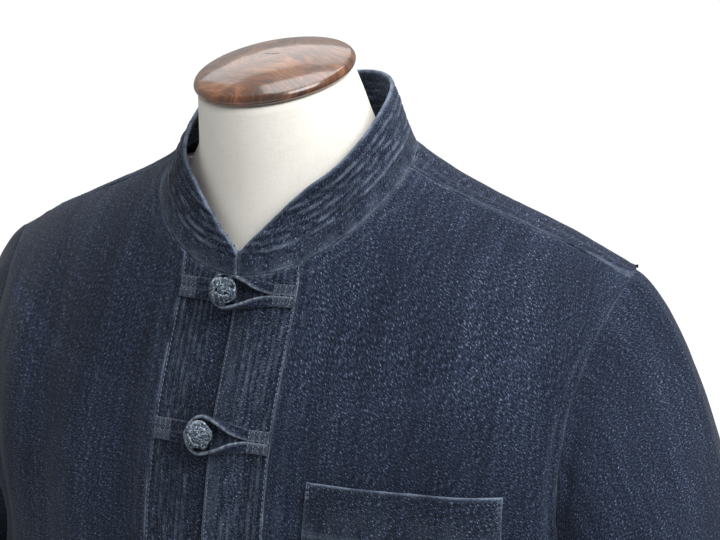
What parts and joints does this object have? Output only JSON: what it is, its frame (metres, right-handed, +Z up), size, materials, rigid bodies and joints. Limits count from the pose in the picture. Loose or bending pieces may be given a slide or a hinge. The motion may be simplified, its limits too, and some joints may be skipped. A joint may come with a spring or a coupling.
{
  "type": "mao jacket on a dress form",
  "caption": "Indigo denim jacket with a stand collar, knotted frog closures and a chest patch pocket, worn by a limbless dress form on a round foot.",
  "frame": {"origin": "centre of the stand's underside, on the floor", "axes": "+Z up; -Y is the front of the jacket; +X is the wearer's left"},
  "size_m": [0.658, 0.32, 0.9221],
  "materials": {
    "denim": "washed indigo denim twill",
    "denim_doubled": "washed indigo denim twill, sewn double",
    "denim_trim": "rolled denim tape, worn light at its edges",
    "linen": "plain cream linen",
    "cap_wood": "lacquered figured wood",
    "stand_steel": "satin"
  },
  "bodies": {
    "root": {"front_left": "denim", "front_right": "denim", "back": "denim", "sleeve_left": "denim", "sleeve_right": "denim", "band_left": "denim_doubled", "band_right": "denim_doubled", "collar": "denim_doubled", "pocket": "denim_doubled", "frog_1_tail": "denim_trim", "frog_1_loop": "denim_trim", "frog_1_knot": "denim_trim", "frog_2_tail": "denim_trim", "frog_2_loop": "denim_trim", "frog_2_knot": "denim_trim", "frog_3_tail": "denim_trim", "frog_3_loop": "denim_trim", "frog_3_knot": "denim_trim", "frog_4_tail": "denim_trim", "frog_4_loop": "denim_trim", "frog_4_knot": "denim_trim", "frog_5_tail": "denim_trim", "frog_5_loop": "denim_trim", "frog_5_knot": "denim_trim", "frog_6_tail": "denim_trim", "frog_6_loop": "denim_trim", "frog_6_knot": "denim_trim", "frog_7_tail": "denim_trim", "frog_7_loop": "denim_trim", "frog_7_knot": "denim_trim", "form_body": "linen", "form_cap": "cap_wood", "form_stem": "stand_steel", "form_hub": "stand_steel", "form_base": "stand_steel"}
  },
  "joints": []
}
